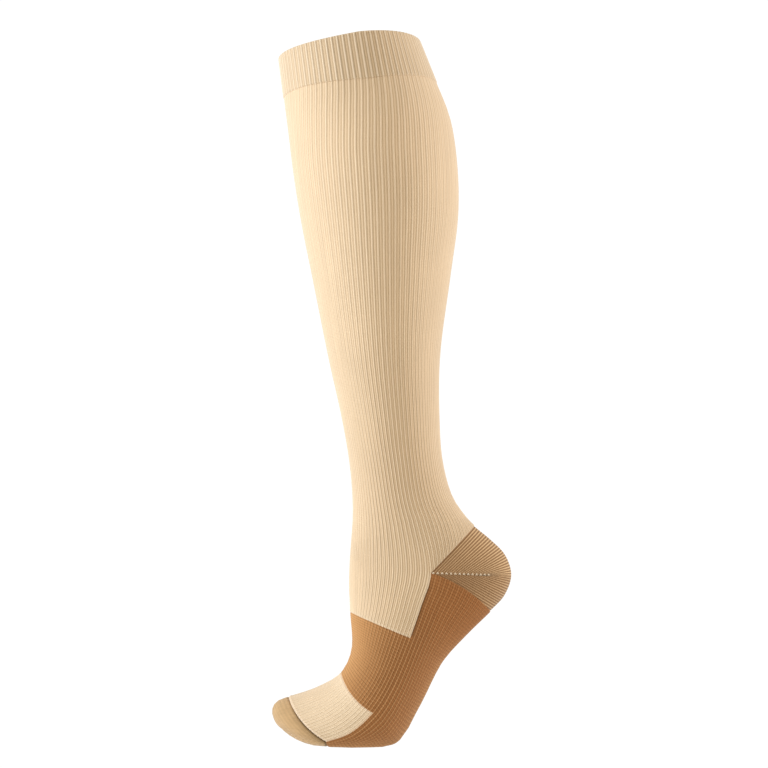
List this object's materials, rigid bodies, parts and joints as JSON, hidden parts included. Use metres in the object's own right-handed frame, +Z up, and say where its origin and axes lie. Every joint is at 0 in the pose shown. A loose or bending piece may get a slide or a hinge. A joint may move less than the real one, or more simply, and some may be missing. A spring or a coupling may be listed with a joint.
{
  "type": "compression stocking",
  "caption": "Knee-high ribbed compression stocking with a brown heel, sole and arch band, filled out as worn with the foot pointed, hollow, with an open cuff.",
  "frame": {"origin": "middle of the open cuff, where the leg holds the stocking up", "axes": "+Z up the leg, towards the knee; -X towards the toes; +Y to one side"},
  "size_m": [0.1752, 0.1218, 0.5225],
  "materials": {
    "ribbed_cuff": "matte knit",
    "ribbed_leg": "matte knit",
    "heel_plait": "matte knit",
    "sole_knit": "matte knit",
    "toe_panel_knit": "matte knit",
    "toe_cap_knit": "matte knit"
  },
  "bodies": {
    "root": {"cuff": "ribbed_cuff", "leg_and_instep": "ribbed_leg", "heel_pocket": "heel_plait", "sole_and_arch_band": "sole_knit", "toe_panel": "toe_panel_knit", "toe_cap": "toe_cap_knit"}
  },
  "joints": []
}
